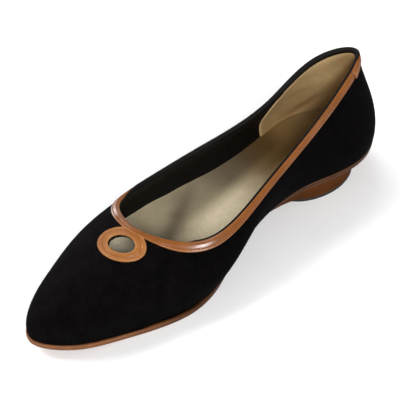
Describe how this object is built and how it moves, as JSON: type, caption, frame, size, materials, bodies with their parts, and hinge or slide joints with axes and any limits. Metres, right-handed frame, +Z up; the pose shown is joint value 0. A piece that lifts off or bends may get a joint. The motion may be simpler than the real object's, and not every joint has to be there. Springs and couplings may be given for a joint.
{
  "type": "suede slip-on shoe",
  "caption": "Pointed black suede slip-on shoe for the right foot, with tan leather binding along the topline, an oval ring around a vamp hole, a leather sole and a low wedge heel.",
  "frame": {"origin": "middle of the heel's flat contact with the floor", "axes": "+X to the toe, +Y to the inner side of the foot, +Z up"},
  "size_m": [0.252, 0.084, 0.0779],
  "materials": {
    "suede": "black suede nap, matt",
    "tan_leather": "smooth tan leather, satin gloss",
    "sock_leather": "beige lining leather, soft satin",
    "sole_leather": "tan sole leather, waxed edge",
    "heel_leather": "stained brown, waxed",
    "lift_rubber": "matt black"
  },
  "bodies": {
    "root": {"upper": "suede", "topline_binding": "tan_leather", "vamp_ring": "tan_leather", "insole": "sock_leather", "outsole": "sole_leather", "heel_wedge": "heel_leather", "heel_top_lift": "lift_rubber"}
  },
  "joints": []
}
